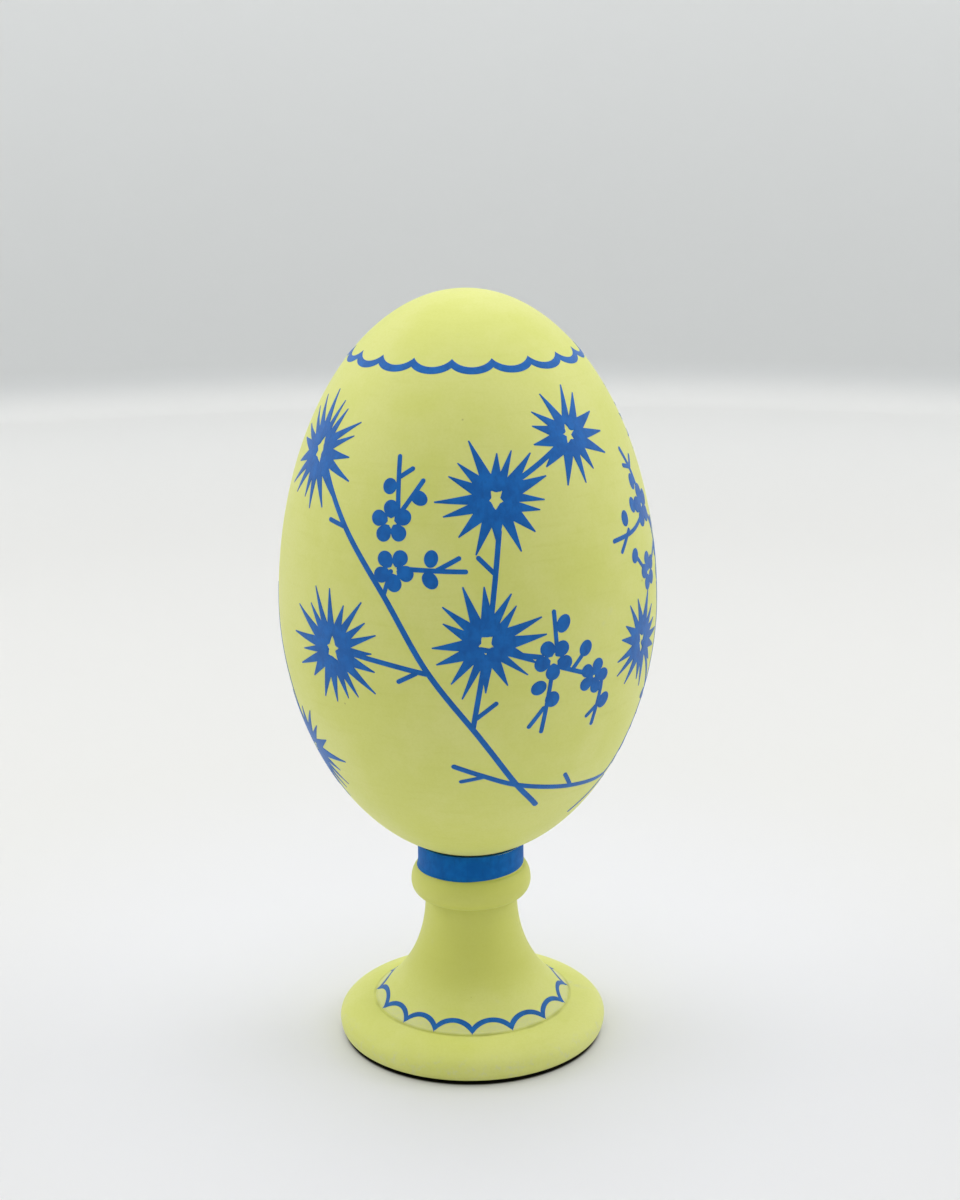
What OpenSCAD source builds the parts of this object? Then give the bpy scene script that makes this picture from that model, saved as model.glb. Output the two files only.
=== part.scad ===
// Painted wooden egg standing on a turned wooden stand.
// The egg rests on the stand's collar, and a loose dowel in both keeps it upright.
// Units are millimetres. The stand's foot lies on z = 0, and its axis is Z.

/* [Egg] */
// Diameter at the egg's widest point
egg_d = 60; // [40:0.5:80]
// Length from the blunt end to the pointed end
egg_len = 91.5; // [70:0.5:120]
// Height of the widest point above the blunt end
egg_belly = 42; // [32:0.5:54]
// Roundness of the blunt end: 2 is an ellipse, less is more pointed
egg_blunt = 1.9; // [1.7:0.05:2.2]

/* [Stand] */
// Height of the stand, from the table to the collar's rim
stand_h = 33.4; // [26:0.1:45]
// Diameter of the foot at its widest
foot_d = 44.2; // [36:0.2:60]
// Thickness of the foot's rounded rim
foot_h = 5.9; // [4.6:0.1:6.5]
// Height of the rim's widest point
foot_mid_h = 2.7; // [1.6:0.1:3]
// How far the foot's lower edge stops short of the rim's widest point
lip_inset = 0.9; // [0.5:0.1:2]
// Height of the low disc under the foot that touches the table
rest_h = 0.7; // [0.2:0.1:1]
// How far that disc stops short of the rim's widest point
rest_inset = 2.6; // [2.3:0.1:4]
// Width of the rim's rounded top, from its widest point to the step
foot_round = 5.9; // [3:0.1:7]
// Height and width of the step's round shoulder
step_round = 0.4; // [0.2:0.1:1.5]
// Slope of the flare where it leaves the step, in degrees
flare_slope = 39; // [34:1:44]
// Diameter of the collar that carries the egg
collar_d = 17.3; // [14.5:0.1:24]
// Height of the collar
collar_h = 4.2; // [2:0.1:8]
// How far the bead under the collar swells out past it
bead_swell = 1.2; // [0.5:0.05:3]
// Height of the bead
bead_h = 5.2; // [4:0.1:8]
// How far the neck under the bead is set in from the collar
neck_inset = 1.1; // [0.5:0.1:2]
// Width of the collar's flat rim
rim_w = 0.6; // [0.5:0.1:1.5]
// Gap between the egg and the hollow seat that it stands in
seat_gap = 0.15; // [0.05:0.05:0.4]

/* [Dowel] */
// Diameter of the dowel
dowel_d = 6; // [4:0.5:8]
// Length of the dowel, half in the stand and half in the egg
dowel_len = 24; // [16:1:30]
// Gap between the dowel and the side of its holes
dowel_gap = 0.05; // [0.02:0.01:0.1]
// Gap past each end of the dowel
dowel_end_gap = 0.5; // [0.2:0.1:2]
// Chamfer on the ends of the dowel
dowel_chamfer = 0.6; // [0.2:0.1:1]
// Chamfer round the mouth of each hole
mouth_chamfer = 0.4; // [0.1:0.1:0.8]

/* [Hidden] */
yellow = "#DDE078";
bare_wood = "#D9BE8C";

// Facets round the axis, for the preview; the solids themselves are true surfaces of revolution.
round_fn = 180;
// Steps along the curved outlines of the egg, of the flare and of the short arcs
egg_steps = 80;
flare_steps = 30;
arc_steps = 12;

egg_r = egg_d / 2;
egg_crown = egg_len - egg_belly;
hole_r = dowel_d / 2 + dowel_gap;
hole_depth = dowel_len / 2 + dowel_end_gap;
mouth_r = hole_r + mouth_chamfer;
collar_r = collar_d / 2;
seat_r = collar_r - rim_w;

// Height of the egg's surface above its blunt end, at radius r, below the widest point.
function egg_rise(r) = egg_belly * (1 - pow(1 - pow(r / egg_r, 2), 1 / egg_blunt));

// The egg's blunt end sits where its surface clears the inner edge of the rim by seat_gap.
egg_z = stand_h - egg_rise(seat_r) + seat_gap;

// Outline of the egg below its widest point: angle 0 is the blunt end, 90 the widest point.
function egg_below(a) =
    let (share = cos(a)) [egg_r * sqrt(1 - pow(share, egg_blunt)), egg_belly * (1 - share)];

// Outline of the egg above its widest point, an ellipse: angle 0 is the widest point, 90 the tip.
function egg_above(a) = [egg_r * cos(a), egg_belly + egg_crown * sin(a)];

// The angle on egg_below where the outline is as wide as r.
function egg_angle(r) = acos(pow(1 - pow(r / egg_r, 2), 1 / egg_blunt));

// Points of an ellipse's arc about [cx, cz], without its first point.
function arc(cx, cz, rx, rz, from, to, steps = arc_steps) =
    [for (i = [1 : steps]) let (a = from + (to - from) * i / steps) [cx + rx * cos(a), cz + rz * sin(a)]];

// Points of a parabola that leaves [r0, z0] inwards at a slope and arrives upright at [r1, z1], without
// its first point.
function flare(r0, z0, r1, z1, slope, steps) =
    let (bend_z = z0 + (r0 - r1) * tan(slope))
    [for (i = [1 : steps])
        let (t = i / steps, u = 1 - t)
        [r1 + (r0 - r1) * u * u, u * u * z0 + 2 * t * u * bend_z + t * t * z1]];

// Solid of revolution with the given outline.
module turned(outline) {
    rotate_extrude($fn = round_fn) polygon(outline);
}

module egg() {
    mouth = egg_angle(mouth_r);
    mouth_z = egg_rise(mouth_r);
    outline = concat(
        // the hole for the dowel, from its end to its mouth
        [[0, hole_depth], [hole_r, hole_depth], [hole_r, mouth_z + mouth_chamfer], [mouth_r, mouth_z]],
        [for (i = [1 : egg_steps]) egg_below(mouth + (90 - mouth) * i / egg_steps)],
        [for (i = [1 : egg_steps - 1]) egg_above(90 * i / egg_steps)],
        [[0, egg_len]]
    );
    color(yellow) translate([0, 0, egg_z]) turned(outline);
}

module stand() {
    foot_r = foot_d / 2;
    lip_r = foot_r - lip_inset;
    rest_r = foot_r - rest_inset;
    step_r = foot_r - foot_round;
    flare_r = step_r - step_round;
    flare_z = foot_h + step_round;
    neck_r = collar_r - neck_inset;
    bead_r = collar_r + bead_swell;
    collar_z = stand_h - collar_h;
    neck_z = collar_z - bead_h;
    bead_mid_z = (neck_z + collar_z) / 2;
    dish_z = egg_z - seat_gap;
    hole_end_z = egg_z - hole_depth;
    outline = concat(
        // the low disc that touches the table, and the foot's lower edge
        [[0, 0], [rest_r, 0], [rest_r, rest_h], [lip_r, rest_h]],
        // the rim's round side and its round top, and the shoulder of the step
        arc(lip_r, foot_mid_h, lip_inset, foot_mid_h - rest_h, -90, 0),
        arc(step_r, foot_mid_h, foot_round, foot_h - foot_mid_h, 0, 90),
        arc(flare_r, foot_h, step_round, step_round, 0, 90, arc_steps / 2),
        // the flare, from the shoulder up to the neck
        flare(flare_r, flare_z, neck_r, neck_z, flare_slope, flare_steps),
        // the bead, swelling from the neck and back to the collar
        arc(neck_r, bead_mid_z, bead_r - neck_r, bead_h / 2, -90, 0),
        arc(collar_r, bead_mid_z, bead_r - collar_r, bead_h / 2, 0, 90),
        // the collar, its rim and the hollow seat
        [[collar_r, stand_h], [seat_r, stand_h]],
        [for (i = [1 : arc_steps])
            let (r = seat_r + (mouth_r - seat_r) * i / arc_steps)
            [r, dish_z + egg_rise(r)]],
        // the hole for the dowel, from its mouth to its end
        [[hole_r, dish_z + egg_rise(mouth_r) - mouth_chamfer], [hole_r, hole_end_z], [0, hole_end_z]]
    );
    color(yellow) turned(outline);
}

module dowel() {
    dowel_r = dowel_d / 2;
    end_r = dowel_r - dowel_chamfer;
    half = dowel_len / 2;
    outline = [
        [0, -half], [end_r, -half], [dowel_r, -half + dowel_chamfer],
        [dowel_r, half - dowel_chamfer], [end_r, half], [0, half]
    ];
    color(bare_wood) translate([0, 0, egg_z]) turned(outline);
}

egg();
stand();
dowel();
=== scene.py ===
# %% [markdown]
# # A painted wooden egg on its turned stand
# The object is three turned pieces of wood: the egg, the stand and the short dowel that joins them.
# Everything else that the eye sees is paint. A yellow-green ground covers both large pieces, and a
# painter has put blue branches, flowers and scalloped lines over it with a brush.
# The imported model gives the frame: where each piece is and how it moves. This lesson dresses it.

# %% Load the frame
import math
import bpy
import numpy as np
from mathutils import Matrix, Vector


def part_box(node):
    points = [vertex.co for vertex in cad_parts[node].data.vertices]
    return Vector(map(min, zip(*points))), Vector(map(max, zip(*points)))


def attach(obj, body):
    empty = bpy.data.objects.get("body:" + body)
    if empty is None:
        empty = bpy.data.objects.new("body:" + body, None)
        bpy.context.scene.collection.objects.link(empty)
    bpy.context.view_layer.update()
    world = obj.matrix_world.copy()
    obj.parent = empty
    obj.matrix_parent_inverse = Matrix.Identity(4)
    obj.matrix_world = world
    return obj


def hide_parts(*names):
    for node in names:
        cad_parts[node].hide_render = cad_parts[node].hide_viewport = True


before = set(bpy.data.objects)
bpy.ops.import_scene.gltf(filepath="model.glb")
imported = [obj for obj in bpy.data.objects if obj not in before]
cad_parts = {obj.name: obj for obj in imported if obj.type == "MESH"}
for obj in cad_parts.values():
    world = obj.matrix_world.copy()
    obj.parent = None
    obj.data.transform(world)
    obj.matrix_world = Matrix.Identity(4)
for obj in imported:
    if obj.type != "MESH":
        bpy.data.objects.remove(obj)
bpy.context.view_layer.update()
MM = 0.001
egg_low, egg_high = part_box("egg")
stand_low, stand_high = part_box("stand")
dowel_low, dowel_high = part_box("dowel")

# %% [markdown]
# ## The outlines that the turner follows
# A turner cuts each piece to an outline while it spins, so one curve from the bottom to the top says
# everything about its shape. A ready-made sphere or cone would not do, because an egg is blunter below
# than above, and the stand is a chain of arcs. The curves here are the design's own: a flattened power
# curve below the egg's widest point, half an ellipse above it, and arcs and a parabola on the stand.

# %% Sizes of the three outlines
EGG_R = (egg_high.x - egg_low.x) / 2
EGG_LEN = 91.5 * MM
EGG_BELLY = 42 * MM
EGG_BLUNT = 1.9
EGG_Z = egg_high.z - EGG_LEN
DOWEL_R = (dowel_high.x - dowel_low.x) / 2
DOWEL_HALF = (dowel_high.z - dowel_low.z) / 2
HOLE_R = DOWEL_R + 0.05 * MM
HOLE_DEPTH = DOWEL_HALF + 0.5 * MM
MOUTH = 0.4 * MM
STAND_H = stand_high.z
FOOT_R = (stand_high.x - stand_low.x) / 2
FOOT_H = 5.9 * MM
FOOT_MID = 2.7 * MM
LIP_R = FOOT_R - 0.9 * MM
REST_R = FOOT_R - 2.6 * MM
REST_H = 0.7 * MM
STEP_R = FOOT_R - 5.9 * MM
STEP_ROUND = 0.4 * MM
FLARE_SLOPE = 39
COLLAR_R = 8.65 * MM
COLLAR_Z = STAND_H - 4.2 * MM
NECK_R = COLLAR_R - 1.1 * MM
NECK_Z = COLLAR_Z - 5.2 * MM
BEAD_R = COLLAR_R + 1.2 * MM
SEAT_R = COLLAR_R - 0.6 * MM
SEAT_GAP = 0.15 * MM
print("egg stands from", round(EGG_Z / MM, 2), "mm, collar starts at", round(COLLAR_Z / MM, 2), "mm")


def egg_rise(r):
    """Height of the egg's surface above its blunt end: belly * (1 - (1 - (r / R) ^ 2) ^ (1 / blunt))."""
    return EGG_BELLY * (1 - (1 - (r / EGG_R) ** 2) ** (1 / EGG_BLUNT))


def arc(r, z, width, height, start, end, steps):
    """Points of an ellipse about (r, z): r + width * cos a, z + height * sin a, a in degrees."""
    a = np.radians(np.linspace(start, end, steps))
    return np.column_stack([r + width * np.cos(a), z + height * np.sin(a)])


def flare(r0, z0, r1, z1, slope, steps):
    """Parabola that leaves (r0, z0) inwards at a slope in degrees and arrives upright at (r1, z1): its
    start weighs (1 - t) ^ 2, the corner where the two tangents meet 2 t (1 - t), and its end t ^ 2."""
    t = np.linspace(0, 1, steps)
    corner_z = z0 + (r0 - r1) * math.tan(math.radians(slope))
    r = r1 + (r0 - r1) * (1 - t) ** 2
    z = (1 - t) ** 2 * z0 + 2 * t * (1 - t) * corner_z + t**2 * z1
    return np.column_stack([r, z])


def line(r0, z0, r1, z1, steps=2):
    """Points spread evenly over a straight line."""
    return np.linspace((r0, z0), (r1, z1), steps)


# %% [markdown]
# ## The egg's outline
# An egg like this is turned on a lathe, and the hole for its dowel is drilled up from the blunt end. Two
# curves meet at the widest point, where both run upright, so no ridge shows. A spline through set points
# would do as well, but a formula stays smooth however many rows the mesh has.

# %% The egg's outline, from its hole round to its tip
def egg_skin(steps=120):
    """Outside of the egg: r = R * sqrt(1 - cos(a) ^ blunt) below the belly, R * cos(a) above it."""
    a = np.linspace(0, math.pi / 2, steps)
    below = np.column_stack([EGG_R * np.sqrt(1 - np.cos(a) ** EGG_BLUNT), EGG_BELLY * (1 - np.cos(a))])
    above = np.column_stack([EGG_R * np.cos(a), EGG_BELLY + (EGG_LEN - EGG_BELLY) * np.sin(a)])
    return np.vstack([below, above[1:]]) + (0, EGG_Z)


def egg_outline():
    """The drilled hole, from its end to its mouth, and the skin from the mouth up to the tip."""
    mouth_r = HOLE_R + MOUTH
    mouth_z = EGG_Z + egg_rise(mouth_r)
    top = EGG_Z + HOLE_DEPTH
    skin = egg_skin()
    outside = (skin[:, 0] > mouth_r * 1.02) | (skin[:, 1] > EGG_Z + EGG_BELLY)
    return np.vstack([
        line(0, top, HOLE_R, top, 4),
        line(HOLE_R, top, HOLE_R, mouth_z + MOUTH, 16)[1:],
        [(mouth_r, mouth_z)],
        skin[outside],
    ])


skin_ends = egg_skin()[[0, -1], 1] / MM
print("the egg's skin runs from", round(skin_ends[0], 2), "to", round(skin_ends[1], 2), "mm up")

# %% [markdown]
# ## The stand's outline
# The stand is one turned piece too: a round foot, a small step, a flare, a bead and a collar whose top is
# hollowed to hold the egg. Its parts could be stacked as separate solids, but the real one has no joints,
# so one outline runs all the way from the underside, over the collar and down into the hole.

# %% The stand's outline, from the middle of its underside to the end of its hole
def stand_skin(steps=24):
    """Painted outside of the stand, from the foot's lower edge up to the collar's rim."""
    flare_r = STEP_R - STEP_ROUND
    flare_z = FOOT_H + STEP_ROUND
    bead_z = (NECK_Z + COLLAR_Z) / 2
    half = (COLLAR_Z - NECK_Z) / 2
    return np.vstack([
        arc(LIP_R, FOOT_MID, FOOT_R - LIP_R, FOOT_MID - REST_H, -90, 0, steps // 2)[:-1],
        arc(STEP_R, FOOT_MID, FOOT_R - STEP_R, FOOT_H - FOOT_MID, 0, 90, steps),
        arc(flare_r, FOOT_H, STEP_ROUND, STEP_ROUND, 0, 90, steps // 2)[1:-1],
        flare(flare_r, flare_z, NECK_R, NECK_Z, FLARE_SLOPE, 2 * steps),
        arc(NECK_R, bead_z, BEAD_R - NECK_R, half, -90, 0, steps)[1:-1],
        arc(COLLAR_R, bead_z, BEAD_R - COLLAR_R, half, 0, 90, steps),
        line(COLLAR_R, COLLAR_Z, COLLAR_R, STAND_H, 8)[1:],
    ])


def stand_outline():
    """The low disc under the foot, the skin, and the rim, the hollow seat and the hole after it."""
    mouth_r = HOLE_R + MOUTH
    r = np.linspace(SEAT_R, mouth_r, 16)
    seat = np.column_stack([r, EGG_Z - SEAT_GAP + egg_rise(r)])
    end = EGG_Z - HOLE_DEPTH
    return np.vstack([
        line(0, 0, REST_R, 0, 12),
        line(REST_R, REST_H, LIP_R, REST_H, 3)[:-1],
        stand_skin(),
        seat,
        line(HOLE_R, seat[-1, 1] - MOUTH, HOLE_R, end, 16),
        line(HOLE_R, end, 0, end, 4)[1:],
    ])


def dowel_outline(chamfer=0.6 * MM):
    """A rod with chamfered ends."""
    low, high = dowel_low.z, dowel_high.z
    end_r = DOWEL_R - chamfer
    return np.vstack([
        line(0, low, end_r, low, 4),
        line(DOWEL_R, low + chamfer, DOWEL_R, high - chamfer, 40),
        line(end_r, high, 0, high, 4),
    ])


for title, outline in (("egg", egg_outline()), ("stand", stand_outline()), ("dowel", dowel_outline())):
    print(title, "outline:", len(outline), "points, widest", round(outline[:, 0].max() * 2 / MM, 2), "mm")

# %% [markdown]
# ## From an outline to a skin of faces
# A grid of points is all that a mesh of this kind needs. Rows follow the outline and columns go round,
# and each cell of the grid is one face. Where a row shrinks to the axis it becomes a single point, so
# the piece is closed. Spin or Screw modifiers could do the same, but a plain grid is exact, has no
# doubled seam, and serves for the paint as well.


# %% A grid of points becomes a closed mesh
def skin_mesh(name, points, round_rows=False, poles=(False, False)):
    """Makes a mesh from points[row, column]. Faces join each cell's corners, the right-hand way round
    when columns run to the right and rows run up. Columns always go all the way round, and a pole turns
    the first or last row into one point."""
    rows, cols = points.shape[:2]
    index = np.arange(rows * cols).reshape(rows, cols)
    if poles[0]:
        index[0] = index[0, 0]
    if poles[1]:
        index[-1] = index[-1, 0]
    index = np.vstack([index, index[:1]]) if round_rows else index
    index = np.hstack([index, index[:, :1]])
    a, b, c, d = index[:-1, :-1], index[:-1, 1:], index[1:, 1:], index[1:, :-1]
    quads = np.stack([a, b, c, d], -1).reshape(-1, 4)
    keep, inverse = np.unique(quads, return_inverse=True)
    quads = inverse.reshape(-1, 4)
    faces = [tuple(dict.fromkeys(q)) for q in quads.tolist()]
    mesh = bpy.data.meshes.new(name)
    mesh.from_pydata(points.reshape(-1, 3)[keep].tolist(), [], [f for f in faces if len(f) > 2])
    mesh.polygons.foreach_set("use_smooth", np.ones(len(mesh.polygons), bool))
    mesh.update()
    piece = bpy.data.objects.new(name, mesh)
    bpy.context.scene.collection.objects.link(piece)
    return piece


def on_axis(turn, r, z):
    """The point at radius r and height z, turned from the front (-Y) towards the right (+X)."""
    return np.stack([r * np.sin(turn), -r * np.cos(turn), z * np.ones_like(turn)], -1)


def turned_piece(name, outline, columns, crease=30):
    """Spins an outline that starts and ends on the axis; edges sharper than crease stay crisp."""
    turn = np.linspace(0, 2 * math.pi, columns, endpoint=False)
    points = on_axis(turn[None, :], outline[:, :1], outline[:, 1:])
    piece = skin_mesh(name, points, poles=(True, True))
    piece.data.set_sharp_from_angle(angle=math.radians(crease))
    print(name, "has", len(piece.data.polygons), "faces")
    return piece


egg = turned_piece("egg_wood", egg_outline(), 256)
stand = turned_piece("stand_wood", stand_outline(), 256)
dowel = turned_piece("dowel_wood", dowel_outline(), 96)

# %% [markdown]
# ## A surface that takes paint
# The painter thinks in two measures: how far round the piece, and how far up it, measured over the
# wood. This class turns those two into a place in space, plus a lift off the wood for the thickness
# of the paint. The radius, the height and the direction that points out of the wood are all looked up
# along the outline, so a whole grid of strokes lands on the wood in one step.


# %% Places on a turned surface
class Ground:
    """A turned surface, known by its outline: along is the distance over the wood from its lower end."""

    def __init__(self, outline):
        self.r, self.z = outline.T
        self.s = np.concatenate([[0], np.hypot(np.diff(self.r), np.diff(self.z)).cumsum()])
        self.dr, self.dz = np.gradient(self.r, self.s), np.gradient(self.z, self.s)

    def radius(self, along):
        """Distance from the axis."""
        return np.interp(along, self.s, self.r)

    def along(self, height):
        """Distance over the wood at a height."""
        return np.interp(height, self.z, self.s)

    def place(self, turn, along, lift):
        """Point on the wood, moved by lift along the outward direction (dz/ds, -dr/ds)."""
        r = self.radius(along) + lift * np.interp(along, self.s, self.dz)
        z = np.interp(along, self.s, self.z) - lift * np.interp(along, self.s, self.dr)
        return np.stack([r * np.sin(turn), -r * np.cos(turn), z], -1)


egg_ground = Ground(egg_skin(600))
stand_ground = Ground(stand_skin(96))
rim = line(COLLAR_R, STAND_H, SEAT_R, STAND_H, 9)
collar_ground = Ground(np.vstack([stand_skin(96)[-100:], rim[1:]]))
print("over the wood the egg is", round(egg_ground.s[-1] / MM, 1), "mm long")

# %% [markdown]
# ## Strokes of paint
# Brush paint dries as a thin film with rounded edges. It could be a colour painted into the ground's
# own finish, but then it would have no edge for the light to catch and no place in the mesh. So each
# stroke is a real film, about a twentieth of a millimetre thick, whose underside lies just in the wood.
# There are three kinds: a patch with an outline round a centre, a line along a path, and a band
# between two wavy edges.

# %% The film's thickness, and a patch with a hole in it
SUNK = -0.03 * MM
FILM = 0.045 * MM
patch_t = np.array([1, 1, 0.97, 0.9, 0.8, 0.7, 0.6, 0.5, 0.4, 0.3, 0.2, 0.1, 0.03, 0])
patch_lift = np.array([SUNK, 0.3 * FILM, 0.85 * FILM] + [FILM] * 9 + [0.85 * FILM, SUNK])


def ring_patch(ground, turn, along, angle, outer, inner, extra):
    """Film between two closed outlines round a centre: radius = inner + t * (outer - inner)."""
    radius = inner + patch_t[:, None] * (outer - inner)
    right, up = radius * np.cos(angle), radius * np.sin(angle)
    row = along + up
    lift = (patch_lift + extra * (patch_lift > 0))[:, None] + 0 * radius
    return ground.place(turn + right / ground.radius(row), row, lift)


def star_outline(angle, corner, reach):
    """Radius of a star in the direction angle. Between neighbouring corners a and b it is the straight
    line a * b * sin(w) / (a * sin(x) + b * sin(w - x)), w the angle between them, x from the first."""
    corner = np.append(corner, corner[0] + 2 * math.pi)
    reach = np.append(reach, reach[0])
    angle = corner[0] + (angle - corner[0]) % (2 * math.pi)
    k = np.clip(np.searchsorted(corner, angle, side="right") - 1, 0, len(corner) - 2)
    wide, x = corner[k + 1] - corner[k], angle - corner[k]
    a, b = reach[k], reach[k + 1]
    return a * b * np.sin(wide) / (a * np.sin(x) + b * np.sin(wide - x))


print("a film of paint stands", FILM / MM, "mm proud of the wood")


# %% [markdown]
# ## Flowers
# The painter lays each ray with the tip of the brush, so the rays are pointed and no two are alike, and
# leaves a small star of ground bare in the middle. Each flower could be built ray by ray, but rays that
# overlap would hide faces inside each other, so one outline goes round the whole flower.

# %% A many-rayed flower and a five-petalled blossom
def aster(ground, turn, height, reach, rays, seed):
    """Pointed rays of uneven length round a small star of bare ground."""
    chance = np.random.default_rng(seed)
    step = 2 * math.pi / rays
    blunt = 0.11 * MM / reach
    tip = (np.arange(rays) + chance.uniform(-0.26, 0.26, rays)) * step
    dip = (tip + np.append(tip[1:], tip[0] + 2 * math.pi)) / 2
    corner = np.column_stack([tip - blunt, tip + blunt, dip]).ravel()
    long, short = chance.uniform(0.76, 1.06, rays), chance.uniform(0.38, 0.5, rays)
    length = reach * np.column_stack([long, long, short]).ravel()
    share = np.linspace(0, 1, 5)[:-1]
    span = np.diff(np.append(corner, corner[0] + 2 * math.pi))
    angle = (corner[:, None] + span[:, None] * share).ravel()
    outer = star_outline(angle, corner, length)
    points = 5
    gap = np.linspace(0, 2 * math.pi, 2 * points, endpoint=False) + chance.uniform(0, 1)
    star = np.tile([0.17, 0.085], points) * chance.uniform(0.7, 1.2, 2 * points)
    inner = reach * star_outline(angle, gap, star) * (1 - 0.25 * np.cos(2 * angle))
    return ring_patch(ground, turn, ground.along(height), angle, outer, inner, 0.012 * MM)


def blossom(ground, turn, height, reach, tilt, hole):
    """Five round petals: radius = d * cos(x) + sqrt(p ^ 2 - (d * sin(x)) ^ 2), x from a petal's middle,
    and never less than the flower's core. The star of bare ground in its middle is hole times as large."""
    angle = np.linspace(0, 2 * math.pi, 160, endpoint=False)
    fifth = 2 * math.pi / 5
    petal = 0.365 * reach
    off = reach - petal
    x = (angle - tilt + fifth / 2) % fifth - fifth / 2
    root = petal**2 - (off * np.sin(x)) ** 2
    outer = np.where(root > 0, off * np.cos(x) + np.sqrt(np.abs(root)), 0)
    outer = np.maximum(outer, 0.5 * reach)
    corner = tilt + np.arange(10) * fifth / 2
    inner = star_outline(angle, corner, reach * hole * np.tile([0.15, 0.3], 5))
    return ring_patch(ground, turn, ground.along(height), angle, outer, inner, 0.008 * MM)


print("a flower's film has", len(patch_t), "rings from its rim to its middle")

# %% [markdown]
# ## Buds, lines and bands
# A bud is one press of the brush and a branch is one pull of it. A line could be a bevelled curve object,
# but its film would not follow the round of the wood, so each point is placed on the wood by itself.

# %% A bud, a line and a band
def bud(ground, turn, height, length, width, lean):
    """A solid oval: an ellipse with its long side turned by lean, closed at its middle."""
    angle = np.linspace(0, 2 * math.pi, 40, endpoint=False)
    t = np.array([0, 1, 1, 0.94, 0.8, 0.55, 0.28, 0])[:, None]
    lift = np.array([SUNK, SUNK, 0.3 * FILM, 0.85 * FILM, FILM, FILM, FILM, FILM])[:, None]
    x, y = length / 2 * t * np.cos(angle), width / 2 * t * np.sin(angle)
    right, up = x * math.cos(lean) - y * math.sin(lean), x * math.sin(lean) + y * math.cos(lean)
    row = ground.along(height) + up
    return ground.place(turn + right / ground.radius(row), row, lift + 0 * row)


def through(knots, steps=24):
    """A smooth curve through the knots: a Catmull-Rom spline, with the end knots mirrored outwards."""
    p = np.vstack([2 * knots[0] - knots[1], knots, 2 * knots[-1] - knots[-2]])
    t = np.linspace(0, len(knots) - 1, steps * (len(knots) - 1) + 1)
    k = np.minimum(t.astype(int), len(knots) - 2)
    f = (t - k)[:, None]
    a, b, c, d = p[k], p[k + 1], p[k + 2], p[k + 3]
    bend, twist = 2 * a - 5 * b + 4 * c - d, 3 * b - a - 3 * c + d
    return 0.5 * (2 * b + (c - a) * f + bend * f**2 + twist * f**3)


across = np.array([-1, -0.93, -0.75, -0.3, 0.3, 0.75, 0.93, 1])
across_lift = np.array([SUNK, 0.5 * FILM, 0.9 * FILM, FILM, FILM, 0.9 * FILM, 0.5 * FILM, SUNK])


def stroke(ground, knots, width):
    """Line of paint through (turn, height) knots. Half width follows a circle at both round ends."""
    path = through(np.asarray(knots, float))
    turn, along = path[:, 0], ground.along(path[:, 1])
    gap = np.hypot(np.diff(turn) * ground.radius(along[1:]), np.diff(along))
    s = np.concatenate([[0], gap.cumsum()])
    cap = width / 2
    round_end = cap * (1 - np.cos(np.linspace(0, math.pi / 2, 7)))
    middle = np.linspace(cap, s[-1] - cap, max(4, int(s[-1] / (0.5 * MM))))
    at = np.concatenate([round_end[:-1], middle, s[-1] - round_end[-2::-1]])
    into_cap = (1 - np.minimum(at, s[-1] - at) / cap).clip(0)
    half = cap * np.sqrt(np.clip(1 - into_cap**2, 0, 1))
    turn, along = np.interp(at, s, turn), np.interp(at, s, along)
    du, dv = np.gradient(turn, at) * ground.radius(along), np.gradient(along, at)
    size = np.hypot(du, dv)
    right, up = (dv / size * half)[:, None] * across, (-du / size * half)[:, None] * across
    row = along[:, None] + up
    lift = across_lift * np.minimum(1, half / half.max() * 2)[:, None]
    return ground.place(turn[:, None] + right / ground.radius(row), row, lift)


def band(ground, turn, low, high):
    """Ring of paint between two edges that are given for each turn, as distances over the wood."""
    flat = np.linspace(0.1, 0.9, 30)
    share = np.concatenate([[0, 0, 0.05], flat, [0.95, 1, 1]])[:, None]
    rise = np.concatenate([[SUNK / FILM, 0.3, 0.85], np.ones(30), [0.85, 0.3, SUNK / FILM]])[:, None]
    along = low + share * (high - low)
    return ground.place(turn + 0 * along, along, rise * FILM + 0 * along)


print("a line of paint has", len(across), "points across")

# %% [markdown]
# ## Putting strokes together
# One flower is one small grid. A whole spray is dozens of them, and they move together with the egg,
# so they are joined into a few pieces by kind. Joining grids is only a matter of stacking their points
# and shifting their face numbers.


# %% Grids of one kind become one piece
PAINT_CREASE = 60


def joined(name, grids, **closing):
    """One piece from many grids that close in the same way."""
    parts = [skin_mesh(f"{name}_{k}", g, **closing) for k, g in enumerate(grids)]
    points, faces, offset = [], [], 0
    for part in parts:
        mesh = part.data
        flat = np.empty(len(mesh.vertices) * 3)
        mesh.vertices.foreach_get("co", flat)
        points.append(flat.reshape(-1, 3))
        faces += [tuple(v + offset for v in face.vertices) for face in mesh.polygons]
        offset += len(mesh.vertices)
        bpy.data.objects.remove(part)
        bpy.data.meshes.remove(mesh)
    mesh = bpy.data.meshes.new(name)
    mesh.from_pydata(np.vstack(points).tolist(), [], faces)
    mesh.polygons.foreach_set("use_smooth", np.ones(len(mesh.polygons), bool))
    mesh.set_sharp_from_angle(angle=math.radians(PAINT_CREASE))
    piece = bpy.data.objects.new(name, mesh)
    bpy.context.scene.collection.objects.link(piece)
    print(name, "has", len(grids), "strokes and", len(faces), "faces")
    return piece


# %% [markdown]
# ## The sprays
# A branch runs from the lower right to the upper left across the front of the egg, and a second one
# creeps along under it and climbs the right side. Each flower is given by where it is: degrees round
# from the front, and millimetres above the blunt end. The back of the egg carries the same sprays
# again, turned about half round, as a painter repeats a pattern, and no two flowers have equal rays.

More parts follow.
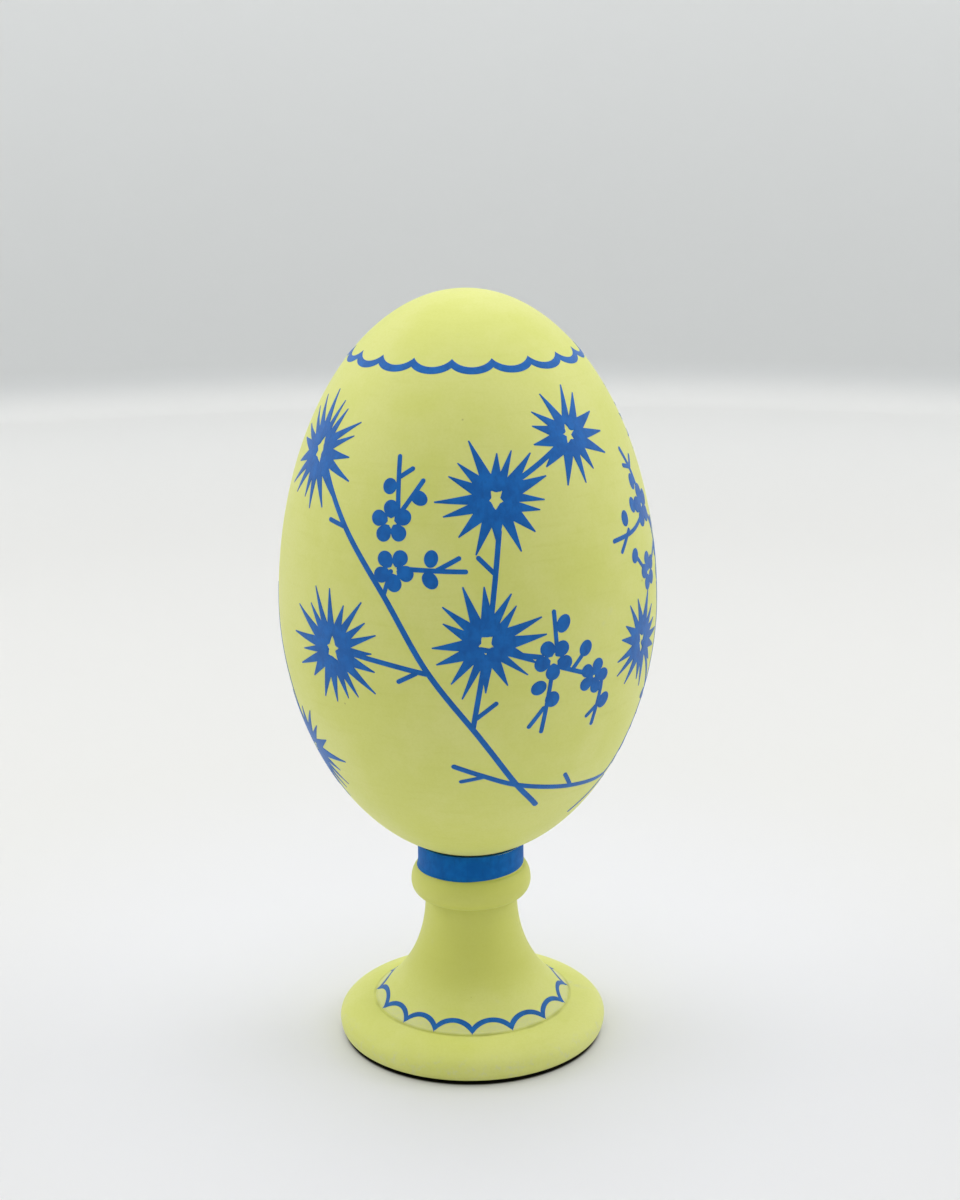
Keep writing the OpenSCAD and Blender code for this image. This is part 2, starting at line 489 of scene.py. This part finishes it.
# %% Where the painter puts each stroke, in degrees and millimetres
BRANCH, STEM, TWIG = 0.95 * MM, 0.85 * MM, 0.75 * MM
branches = [
    [(-57, 68.3), (-51.5, 66), (-40, 59.6), (-24.3, 50), (-11, 38.6), (1.4, 29.8), (15.4, 20.2),
     (27.3, 14.6)],
    [(-5.6, 23.5), (5, 21.5), (16.3, 19.5), (32.7, 17.8), (45.6, 16.9), (60, 16.2), (66, 16.3),
     (70.5, 18), (73.5, 21), (75.8, 24.6), (77.6, 28.3), (80, 34), (83, 42), (87, 50), (92, 58), (98, 68)],
]
stems = [
    [(12, 65.4), (36, 71.3)],
    [(9.9, 60), (6.5, 46)],
    [(4.6, 40), (1.4, 29.8)],
    [(-36, 40.6), (-24, 39.8), (-11, 38.6)],
    [(3, 42.6), (22, 40.6)],
    [(63, 39), (71, 34), (78, 29)],
    [(65.7, 68.6), (69.6, 65), (72.5, 60.5), (77, 57.5), (81.5, 54), (84, 47), (84.5, 41)],
    [(-72.3, 21), (-75, 30), (-80, 38), (-86, 46)],
]
twigs = [
    [(-39.4, 59.2), (-46.6, 59.9)],
    [(8.5, 53.4), (3, 56.2)],
    [(1.9, 31.4), (8.7, 34.2)],
    [(-14.2, 38.8), (-20.6, 37)],
    [(-20.9, 61.5), (-22.6, 70.2)],
    [(-22.2, 66.9), (-16.8, 68.5)],
    [(-21.3, 61.4), (-13.2, 67)],
    [(-20.5, 54.2), (0.5, 54)],
    [(-9.5, 53.9), (-1.5, 56.1)],
    [(-22, 54), (-24.3, 50)],
    [(26.2, 40.5), (25.2, 47.7)],
    [(25, 39.5), (22.5, 28.3)],
    [(23, 32.8), (18, 29.4)],
    [(26, 39), (38.4, 36.6)],
    [(31.2, 38), (35.6, 40.6)],
    [(40.5, 37), (42.8, 35), (41.2, 27.9)],
    [(42.5, 31.4), (38, 29.6)],
    [(5.2, 21.4), (-3.4, 20.5)],
    [(40.6, 17.2), (35.1, 20.1)],
    [(69, 15.5), (60, 12.7), (52, 10.5)],
    [(69.6, 65.3), (64, 66)],
    [(69.8, 65.2), (73.4, 67)],
    [(72, 58.3), (61.5, 56.4), (49.2, 55.8)],
    [(59, 57), (52.8, 53.7)],
    [(60.5, 52.6), (69, 49.6), (82, 52.6)],
]
asters = [
    (-60.5, 68.9, 9.4, 18, 1), (39.7, 72, 7.6, 13, 2), (9.4, 64.2, 8.8, 16, 3), (5.3, 43.3, 8.8, 16, 4),
    (-42.4, 40.6, 9.6, 19, 5), (63, 39, 8, 15, 6), (-72.3, 20.8, 10.4, 19, 7),
]
blossoms = [
    (-23.1, 60.7, 3.25, 95, 1), (-21.5, 53.9, 3.25, 60, 1), (25.2, 40.1, 3.25, 50, 1.1),
    (39.5, 36.2, 2.9, 70, 0.3), (72.3, 59.2, 3.5, 95, 0.4), (69.8, 49.3, 3.1, 100, 1.1),
]
buds = [
    (-24.7, 65.7, 2.4, 2.2, 90), (-14.6, 64.3, 2.7, 2.1, 150), (-10.2, 55.8, 2.6, 2.1, 80),
    (-10.4, 52.7, 2.8, 2.2, 130), (28.2, 45.4, 2.9, 2.2, 60), (20.7, 35.9, 2.6, 2.2, 30),
    (25.2, 33.8, 2.6, 2.4, 80), (35.8, 41, 2.6, 2.2, 60), (44.6, 31.8, 2.7, 2.2, 60),
    (68, 63.2, 2.6, 1.9, 95), (57.4, 58.6, 2.5, 1.9, 90), (64.1, 60, 2.5, 1.9, 100),
    (60.4, 52.6, 2.4, 2, 60), (75.5, 28.6, 3.2, 1.8, 0), (81.5, 55.5, 2.6, 1.9, 100), (82, 51.5, 2.8, 2, 85),
    (83, 47.5, 2.6, 2.2, 95), (84, 43.5, 3, 2.4, 90), (84, 40.2, 2.6, 2.2, 90),
]


def turned_by(knots, degrees):
    """(degrees, mm) knots as (radians, metres), turned round the egg."""
    return [(math.radians(lon + degrees), height * MM + EGG_Z) for lon, height in knots]


def spray(degrees, other):
    """All strokes, flowers and buds of one half of the egg, turned round it by degrees."""
    widths = ((branches, BRANCH), (stems, STEM), (twigs, TWIG))
    lines = [stroke(egg_ground, turned_by(k, degrees), w) for knots, w in widths for k in knots]
    flowers, dots = [], []
    for lon, height, reach, rays, seed in asters:
        turn, z = turned_by([(lon, height)], degrees)[0]
        flowers.append(aster(egg_ground, turn, z, reach * MM, rays, seed + other))
    for lon, height, reach, tilt, hole in blossoms:
        turn, z = turned_by([(lon, height)], degrees)[0]
        flowers.append(blossom(egg_ground, turn, z, reach * MM, math.radians(tilt), hole))
    for lon, height, length, width, lean in buds:
        turn, z = turned_by([(lon, height)], degrees)[0]
        dots.append(bud(egg_ground, turn, z, length * MM, width * MM, math.radians(lean)))
    return lines, flowers, dots


# each side: its name, how far its spray is turned, and what is added to its flowers' seeds
SIDES = (("front", 0, 0), ("back", 168, 40))
painted = []
for side, degrees, other in SIDES:
    lines, flowers, dots = spray(degrees, other)
    painted.append(joined(f"{side}_branches", lines, poles=(True, True)))
    painted.append(joined(f"{side}_flowers", flowers, round_rows=True))
    painted.append(joined(f"{side}_buds", dots, poles=(True, True)))

# %% [markdown]
# ## Scalloped lines and the blue collar
# The line round the egg's shoulder hangs in shallow arcs between cusps that point up. Its upper edge
# is sharp at the cusps, and its lower edge is smoother, as a loaded brush leaves it. The line on the
# foot runs the other way: its arcs climb the flare and its cusps point out to the step.


# %% Bands
def hanging(turn, count, start, steep=0.9):
    """How far each arc has left the line through its cusps, from 0 to 1: a circle's segment,
    sqrt(1 - (steep * x) ^ 2), x from -1 to 1 between cusps, less its height at the cusps."""
    x = ((turn - start) * count / (2 * math.pi) % 1) * 2 - 1
    end = math.sqrt(1 - steep**2)
    return (np.sqrt(1 - (steep * x) ** 2) - end) / (1 - end)


def band_turns(count, start):
    """Turns of a band's columns, 24 to an arc, so that a column falls on every cusp."""
    return np.linspace(0, 2 * math.pi, count * 24, endpoint=False) + start


SHOULDER_ARCS = 18
SHOULDER_START = math.radians(-6.3)
SHOULDER_H = 83.1 * MM
FOOT_ARCS = 15
HAIR = 1e-9  # keeps a column that lies on a cusp on one side of it
turn = band_turns(SHOULDER_ARCS, SHOULDER_START)
sag = hanging(turn, SHOULDER_ARCS, SHOULDER_START + HAIR, 0.85)
shoulder = egg_ground.along(EGG_Z + SHOULDER_H)
low_edge = shoulder - (1.58 + 1.09 * sag) * MM
high_edge = shoulder - 1.47 * MM * sag
painted.append(joined("shoulder_line", [band(egg_ground, turn, low_edge, high_edge)], round_rows=True))

# the painter's spacing slips forward a little, most at 292 degrees
even = band_turns(FOOT_ARCS, 0.0)
slip = np.exp(-(((even - math.radians(292)) / math.radians(36)) ** 2))
turn = even + math.radians(5.5) * slip
sag = hanging(even, FOOT_ARCS, HAIR)
step_edge = stand_ground.along(FOOT_H + 0.05 * MM)
low_edge = step_edge + (0.1 + 2.07 * sag) * MM
high_edge = step_edge + (1.6 + 1.38 * sag) * MM
painted_stand = [joined("foot_line", [band(stand_ground, turn, low_edge, high_edge)], round_rows=True)]

wander = np.random.default_rng(7)
turn = np.linspace(0, 2 * math.pi, 360, endpoint=False)
wave = sum(wander.uniform(0.3, 1) / k * np.sin(k * turn + wander.uniform(0, 6)) for k in (5, 9, 14, 23, 37))
droop = 0.12 * wave + 0.3 * np.sin(turn)
low_edge = collar_ground.along(COLLAR_Z) + (0.05 + droop) * MM
high_edge = collar_ground.s[-1] + 0 * turn
collar_band = band(collar_ground, turn, low_edge, high_edge)
painted_stand.append(joined("collar_paint", [collar_band], round_rows=True))


# %% [markdown]
# ## Finishes
# Shader maths reads best as plain expressions. This small class wraps the output of a node, so that
# 1 - mask or grain * 0.3 adds the Math nodes by itself.


# %% Shader maths as expressions
class Wire:
    """One output of a node. Adding, subtracting, multiplying or comparing it adds a Math node."""

    def __init__(self, tree, socket):
        self.tree, self.socket = tree, socket

    def math(self, operation, *values):
        """A Math node with that operation on these values."""
        made = self.tree.nodes.new("ShaderNodeMath")
        made.operation = operation
        for socket, value in zip(made.inputs, values):
            if isinstance(value, Wire):
                self.tree.links.new(value.socket, socket)
            else:
                socket.default_value = value
        return Wire(self.tree, made.outputs[0])

    def __add__(self, other):
        return self.math("ADD", self, other)

    def __sub__(self, other):
        return self.math("SUBTRACT", self, other)

    def __rsub__(self, other):
        return self.math("SUBTRACT", other, self)

    def __mul__(self, other):
        return self.math("MULTIPLY", self, other)

    def __gt__(self, other):
        return self.math("GREATER_THAN", self, other)

    def __lt__(self, other):
        return self.math("LESS_THAN", self, other)

    def __mod__(self, other):
        return self.math("FLOORED_MODULO", self, other)


class Finish:
    """A material that is built node by node."""

    def __init__(self, name):
        self.material = bpy.data.materials.new(name)
        self.material.use_nodes = True
        self.tree = self.material.node_tree
        self.tree.nodes.clear()

    def node(self, kind, settings=None, inputs=None, output=0):
        """Any node: its type, its settings, the values or wires of its sockets, and which output."""
        made = self.tree.nodes.new("ShaderNode" + kind)
        for name, value in (settings or {}).items():
            setattr(made, name, value)
        for name, value in (inputs or {}).items():
            if isinstance(value, Wire):
                self.tree.links.new(value.socket, made.inputs[name])
            else:
                made.inputs[name].default_value = value
        return Wire(self.tree, made.outputs[output]) if made.outputs else None

    def millimetres(self):
        """Object coordinates, in millimetres."""
        place = self.node("TexCoord", output="Object")
        return self.node("VectorMath", {"operation": "SCALE"}, {0: place, "Scale": 1000.0})

    def away(self, place):
        """Distance from the Z axis."""
        flat = self.stretched(place, 1.0, 1.0, 0.0)
        return self.node("VectorMath", {"operation": "LENGTH"}, {0: flat}, "Value")

    def stretched(self, place, x, y, z):
        """The same coordinates, each multiplied by its own factor."""
        return self.node("VectorMath", {"operation": "MULTIPLY"}, {0: place, 1: (x, y, z)})

    def noise(self, place, scale, detail=2.0, rough=0.5):
        """Soft noise between 0 and 1, with scale waves to a millimetre."""
        inputs = {"Vector": place, "Scale": scale, "Detail": detail, "Roughness": rough}
        return self.node("TexNoise", {}, inputs, "Fac")

    def ramp(self, value, low, high, to_low=0.0, to_high=1.0):
        """Value carried from low..high to to_low..to_high, with soft ends."""
        settings = {"interpolation_type": "SMOOTHSTEP"}
        numbers = {"Value": value, "From Min": low, "From Max": high, "To Min": to_low, "To Max": to_high}
        return self.node("MapRange", settings, numbers)

    def blend(self, share, first, second, how="MIX"):
        """Two colours mixed; share 0 is the first, 1 the second."""
        return self.node("Mix", {"data_type": "RGBA", "blend_type": how}, {0: share, 6: first, 7: second}, 2)

    def bump(self, height, distance, strength):
        """Normal for a height field, distance being the rise in metres that a height of 1 stands for."""
        return self.node("Bump", {}, {"Height": height, "Distance": distance, "Strength": strength})

    def surface(self, colour, roughness, normal, **constants):
        """Ends the material with a Principled shader, and returns the material."""
        inputs = {"Base Color": colour, "Roughness": roughness, "Normal": normal}
        inputs.update({name.replace("_", " "): value for name, value in constants.items()})
        shader = self.node("BsdfPrincipled", {}, inputs)
        self.node("OutputMaterial", {}, {"Surface": shader})
        return self.material


print("wires and finishes are ready")

# %% [markdown]
# ## Bare wood
# Nobody paints the dowel, the holes, the seat or the underside, so pale wood shows there. A flat colour
# would look like plastic, so long fibres run up the piece and year rings show on the cut ends.

# %% Bare wood
WOOD = (0.60, 0.42, 0.22, 1)
WOOD_DARK = (0.40, 0.25, 0.11, 1)


def wood_colour(f, place):
    """Pale close-grained wood: fibres along the axis, and soft year rings seen on the cut ends."""
    fibre = f.noise(f.stretched(place, 2.2, 2.2, 0.12), 1.0, 5.0, 0.65)
    centre = f.node("VectorMath", {"operation": "ADD"}, {0: place, 1: (38.0, 21.0, 0.0)})
    bent = f.noise(place, 0.05, 2.0) * 6.0
    ring = (f.away(centre) + bent) * 0.9 % 1.0
    colour = f.blend(f.ramp(fibre, 0.35, 0.7), WOOD, WOOD_DARK)
    return f.blend(f.ramp(ring, 0.55, 1.0, 0.0, 0.45), colour, WOOD_DARK), fibre


def bare_wood(name):
    """The dowel's finish, the grain standing up a little where the rod was never painted."""
    f = Finish(name)
    colour, fibre = wood_colour(f, f.millimetres())
    rough = f.ramp(fibre, 0.3, 0.7, 0.6, 0.75)
    return f.surface(colour, rough, f.bump(fibre, 0.06 * MM, 0.6), Specular_IOR_Level=0.3)


print("bare wood runs from", WOOD[:3], "to", WOOD_DARK[:3])

# %% [markdown]
# ## The ground paint
# Poster paint dries matte and uneven, and rubs pale on edges. On the stand its colour is painted
# deeper from the upper flare to the bead, as painted shade under the egg, and the groove of the step is
# painted dark olive, as painted shade in the crease. All of it is worked out from a point's height and
# its distance from the axis, so the finish needs no unwrapped surface.

# %% Yellow-green ground paint, worn off where the turner never painted
YELLOW = (0.80, 0.83, 0.205, 1)
YELLOW_PALE = (0.84, 0.86, 0.26, 1)
# deeper yellow, used for streaks and fine mottling, and for the painted shade under the egg
YELLOW_DEEP = (0.69, 0.71, 0.12, 1)
SMUDGE = (0.72, 0.74, 0.50, 1)
SPECK = (0.25, 0.22, 0.06, 1)
# painted shade for the crease at the foot's step
OLIVE_SHADE = (0.38, 0.40, 0.07, 1)


def ground_paint(name, bare_low, holes, shade_heights=None, step=None):
    """Matte poster paint over turned wood: faint streaks round the piece, soft blotches, chalky smudges
    and a few specks. Wood shows below bare_low and in the holes, each given as a radius and the two
    heights it runs between. Between two given heights the colour is painted deeper, as painted shade
    under the egg, and round the step, given as a radius and a height, the crease is painted dark olive
    as painted shade and the paint is rubbed pale above it. All of these are millimetres."""
    f = Finish(name)
    place = f.millimetres()
    height = f.node("SeparateXYZ", {}, {0: place}, 2)
    away = f.away(place)
    blotch = f.noise(place, 0.07, 4.0, 0.6)
    streak = f.noise(f.stretched(place, 0.12, 0.12, 1.5), 0.7, 4.0, 0.65)
    fine = f.noise(place, 2.6, 4.0, 0.65)
    colour = f.blend(f.ramp(blotch, 0.35, 0.65), YELLOW, YELLOW_PALE)
    # painted shade: between these heights the colour is deeper, where shade falls under the egg
    if shade_heights:
        under_egg_shade = f.ramp(height, shade_heights[0], shade_heights[0] + 5.0) * f.ramp(height, shade_heights[1], shade_heights[1] - 4.0)
        colour = f.blend(under_egg_shade * 0.6, colour, YELLOW_DEEP)
    colour = f.blend(f.ramp(streak, 0.5, 0.8, 0.0, 0.2), colour, YELLOW_DEEP)
    colour = f.blend(f.ramp(fine, 0.35, 0.75, 0.0, 0.16), colour, YELLOW_DEEP)
    rubbed = f.ramp(f.noise(place, 0.11, 3.0, 0.55), 0.66, 0.76, 0.0, 0.4)
    colour = f.blend(rubbed, colour, SMUDGE)
    if step:
        step_r, step_z = step
        worn = f.ramp(height, step_z + 0.1, step_z + 0.4) * f.ramp(height, step_z + 1.6, step_z + 0.9)
        colour = f.blend(worn * f.ramp(fine, 0.3, 0.6, 0.15, 0.4), colour, SMUDGE)
        chips = f.ramp(f.noise(place, 0.6, 5.0, 0.7), 0.5, 0.72)
        scuffed = f.ramp(height, step_z - 0.6, step_z - 2.6) * chips
        colour = f.blend(scuffed * 0.45, colour, SMUDGE)
        # painted shade: the crease at the step is darkened olive, where shade falls in it
        off_step = away - step_r
        groove = f.ramp(off_step.math("ABSOLUTE", off_step), 0.45, 0.1) * (height < step_z + 0.5)
        uneven = f.ramp(f.noise(place, 0.2, 2.0), 0.35, 0.65, 0.12, 0.42)
        colour = f.blend(groove * uneven, colour, OLIVE_SHADE)
    cell = f.node("TexVoronoi", {}, {"Vector": place, "Scale": 0.22}, "Distance")
    own = f.node("TexVoronoi", {}, {"Vector": place, "Scale": 0.22}, "Color")
    lucky = f.node("SeparateColor", {}, {0: own}, 0)
    speck = f.ramp(cell, 0.06, 0.02) * (lucky > 0.86)
    colour = f.blend(speck * 0.55, colour, SPECK)
    wood, fibre = wood_colour(f, place)
    ragged = (fine - 0.5) * 0.5
    bare = 1 - f.ramp(height + ragged * 0.3, bare_low, bare_low + 0.1)
    for radius, low, high in holes:
        inside = f.ramp(away + ragged, radius + 0.1, radius - 0.1) * (height > low) * (height < high)
        bare = bare.math("MAXIMUM", bare, inside)
    colour = f.blend(bare, colour, wood)
    relief = streak * 0.4 + fine * 0.5 - speck * 0.7
    rough = f.ramp(fine, 0.3, 0.7, 0.5, 0.62)
    normal = f.bump(relief, 0.06 * MM, 0.6)
    return f.surface(colour, rough, normal, Specular_IOR_Level=0.5, Sheen_Weight=0.12)


print("ground paint:", YELLOW[:3], "with paler blotches", YELLOW_PALE[:3])

# %% [markdown]
# ## The blue paint
# The blue is the same kind of paint, put on with a small brush, so it is streaked where the brush dragged.
# The collar is duller than the strokes, so shine and sheen are given for each.

# %% Blue brush paint
BLUE = (0.0005, 0.126, 0.48, 1)
BLUE_PALE = (0.003, 0.165, 0.58, 1)
BLUE_DEEP = (0.0005, 0.095, 0.37, 1)


def brush_paint(name, shine, sheen):
    """Blue poster paint: blotches where the brush left more or less of it, and a fine grain."""
    f = Finish(name)
    place = f.millimetres()
    blotch = f.noise(place, 0.5, 4.0, 0.6)
    drag = f.noise(f.stretched(place, 1.0, 1.0, 0.35), 1.4, 3.0)
    fine = f.noise(place, 5.0, 2.0)
    colour = f.blend(f.ramp(blotch, 0.35, 0.7), BLUE, BLUE_PALE)
    colour = f.blend(f.ramp(drag, 0.5, 0.75, 0.0, 0.5), colour, BLUE_DEEP)
    rough = f.ramp(fine, 0.3, 0.7, 0.55, 0.7)
    relief = fine * 0.6 + drag * 0.4
    normal = f.bump(relief, 0.03 * MM, 0.6)
    return f.surface(colour, rough, normal, Specular_IOR_Level=shine, Sheen_Weight=sheen)


NEVER_BARE = -10.0  # below everything, so that no wood shows under the paint
STAND_HOLE_LOW = 15.0
egg_holes = [((HOLE_R + MOUTH) / MM, EGG_Z / MM, (EGG_Z + HOLE_DEPTH) / MM + 0.2)]
stand_holes = [
    ((HOLE_R + MOUTH) / MM, STAND_HOLE_LOW, STAND_H / MM),
    (SEAT_R / MM, COLLAR_Z / MM, STAND_H / MM),
]
# heights in mm of the painted shade under the egg, from the stand's upper flare to its bead
shade_heights = (9.0, COLLAR_Z / MM + 6)
step = (STEP_R / MM + 0.05, FOOT_H / MM)
egg_finish = ground_paint("yellow_paint_egg", NEVER_BARE, egg_holes)
stand_finish = ground_paint("yellow_paint_stand", REST_H / MM - 0.05, stand_holes, shade_heights, step)
brush_finish = brush_paint("blue_brush_paint", 0.25, 0.22)
collar_finish = brush_paint("blue_collar_paint", 0.1, 0.06)
wood_finish = bare_wood("bare_wood")

egg.data.materials.append(egg_finish)
stand.data.materials.append(stand_finish)
dowel.data.materials.append(wood_finish)
for piece in painted + painted_stand[:1]:
    piece.data.materials.append(brush_finish)
painted_stand[1].data.materials.append(collar_finish)
print("finishes:", [finish.name for finish in bpy.data.materials])

# %% [markdown]
# ## Which body carries each piece
# The paint moves with the wood that it is on. The three wooden pieces take the place of the packed
# model's own.

# %% Each piece rides on its body
WOODEN = ((egg, "egg", "yellow_paint"), (stand, "stand", "yellow_paint"), (dowel, "dowel", "bare_wood"))
for piece, node, slot in WOODEN:
    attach(piece, node)
    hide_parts(node)
for piece in painted:
    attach(piece, "egg")
for piece in painted_stand:
    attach(piece, "stand")
print(len(painted), "painted pieces ride on the egg and", len(painted_stand), "on the stand")

# %% [markdown]
# ## The light tent
# Small objects are shown in a white tent lit from above and from both sides. The floor runs into the
# wall through a soft curve.

# %% Floor and wall
TENT_R = 635 * MM
TENT_CURVE = 20 * MM
TENT_H = 480 * MM
FLOOR = (0.825, 0.815, 0.795, 1)
# painted light: bluer and lighter near the object, against the yellow light and the shade that the object
# throws on the floor
FLOOR_NEAR_PAINTED_LIGHT = (0.87, 0.865, 0.915, 1)
# painted light: lighter far out, where the wall shades the floor
FLOOR_FAR_PAINTED_LIGHT = (0.90, 0.895, 0.88, 1)
# painted shade: a black round on the floor under the stand stands in for the contact shadow under the foot's
# rim
CONTACT_SHADE = (0.012, 0.012, 0.01, 1)
CONTACT_SHADE_R = 21.3
WALL = (0.72, 0.73, 0.73, 1)
CLOTH = (0.22, 0.23, 0.23, 1)
# painted light: added to the wall's colour towards its top, where the light from the open top falls on it
WALL_PAINTED_LIGHT = (0.10, 0.10, 0.10, 1)


def tent_outline():
    """Flat floor, a quarter circle and an upright wall."""
    return np.vstack([
        line(0, 0, TENT_R - TENT_CURVE, 0, 12)[:-1],
        arc(TENT_R - TENT_CURVE, TENT_CURVE, TENT_CURVE, TENT_CURVE, -90, 0, 24),
        line(TENT_R, TENT_CURVE, TENT_R, TENT_H, 8)[1:],
    ])


def tent_paper(name):
    """White floor with a round of painted black shade under the stand, as the contact shadow of its foot.
    Near the object the floor is painted bluer and lighter, and far out lighter, as painted light. The wall
    is grey paper behind and beside the object, painted lighter towards its top as painted light, and
    darker cloth in front."""
    f = Finish(name)
    place = f.millimetres()
    fine = f.noise(place, 0.5, 2.0)
    height = f.node("SeparateXYZ", {}, {0: place}, 2)
    depth = f.node("SeparateXYZ", {}, {0: place}, 1)
    paper = f.blend(f.ramp(depth, -450.0, -50.0), CLOTH, WALL)
    # painted light: the wall is lighter towards its top
    paper = f.blend(f.ramp(height, 30.0, 250.0), paper, WALL_PAINTED_LIGHT, "ADD")
    # painted light: the floor is bluer and lighter near the object
    floor = f.blend(f.ramp(f.away(place), 20.0, 150.0), FLOOR_NEAR_PAINTED_LIGHT, FLOOR)
    # painted light: the floor is lighter far out, towards the wall
    floor = f.blend(f.ramp(f.away(place), 350.0, 600.0), floor, FLOOR_FAR_PAINTED_LIGHT)
    # painted shade: black inside the round under the foot, as its contact shadow
    floor = f.blend(f.ramp(f.away(place), CONTACT_SHADE_R + 0.3, CONTACT_SHADE_R - 0.3), floor, CONTACT_SHADE)
    colour = f.blend(f.ramp(height, 0.0, 16.0), floor, paper)
    rough = f.ramp(fine, 0.3, 0.7, 0.8, 0.9)
    return f.surface(colour, rough, f.bump(fine, 0.02 * MM, 0.2), Specular_IOR_Level=0.1)


tent_turn = np.linspace(0, 2 * math.pi, 128, endpoint=False)
outline = tent_outline()
tent_points = on_axis(tent_turn[None, :], outline[:, :1], outline[:, 1:])[::-1]
tent = skin_mesh("tent", tent_points, poles=(False, True))
tent.data.materials.append(tent_paper("tent_paper"))
print("the tent has", len(tent.data.polygons), "faces")

# %% [markdown]
# ## The lamps
# Wide lamps above and at both sides give the soft, even light of a tent, and the air of the tent fills
# the shadows. Small lamps would draw hard highlights that matte paint doesn't show.


# %% Lights
AIM = (0, 0, 0.06)


def softbox(name, place, width, height, power):
    """A rectangular lamp that shines at the middle of the object."""
    lamp = bpy.data.lights.new(name, "AREA")
    lamp.shape = "RECTANGLE"
    lamp.size, lamp.size_y, lamp.energy = width, height, power
    holder = bpy.data.objects.new(name, lamp)
    bpy.context.scene.collection.objects.link(holder)
    way = Matrix.Translation(place).translation - Matrix.Translation(AIM).translation
    holder.matrix_world = Matrix.Translation(place) @ way.to_track_quat("Z", "Y").to_matrix().to_4x4()
    holder.visible_camera = False
    return holder


TOP_POWER, LEFT_POWER, RIGHT_POWER, BACK_POWER, AIR = 1.19, 1.08, 1.12, 0.27, 0.82
softbox("top_light", (0, 0.05, 0.8), 0.5, 0.5, TOP_POWER)
softbox("left_light", (-0.6, 0.1, 0.35), 0.45, 0.45, LEFT_POWER)
softbox("right_light", (0.6, 0.1, 0.35), 0.45, 0.45, RIGHT_POWER)
softbox("back_light", (0, 0.35, 0.75), 0.6, 0.4, BACK_POWER)
world = bpy.data.worlds.new("tent_air")
bpy.context.scene.world = world
world.use_nodes = True
world.node_tree.nodes["Background"].inputs["Color"].default_value = (0.955, 0.975, 0.985, 1)
world.node_tree.nodes["Background"].inputs["Strength"].default_value = AIR
print("lamps:", [lamp.name for lamp in bpy.data.lights])

# %% [markdown]
# ## The camera
# It stands a little above the object and looks down on it through a fairly long lens, so the foot and
# the shoulder line open into slim ellipses.

# %% Camera
EYE = (1.92 * MM, -320.9 * MM, 159.7 * MM)
LOOK_DOWN = 14.96
ROLL = -0.55
eye = bpy.data.cameras.new("camera")
eye.lens = 62.5
eye.sensor_width = 36
eye.clip_start, eye.clip_end = 0.01, 20
camera = bpy.data.objects.new("camera", eye)
bpy.context.scene.collection.objects.link(camera)
camera.matrix_world = (
    Matrix.Translation(EYE)
    @ Matrix.Rotation(math.radians(90 - LOOK_DOWN), 4, "X")
    @ Matrix.Rotation(math.radians(ROLL), 4, "Z")
)
bpy.context.scene.camera = camera
bpy.context.scene.view_settings.view_transform = "Standard"
print("the camera looks down", LOOK_DOWN, "degrees through a lens of", eye.lens, "mm")
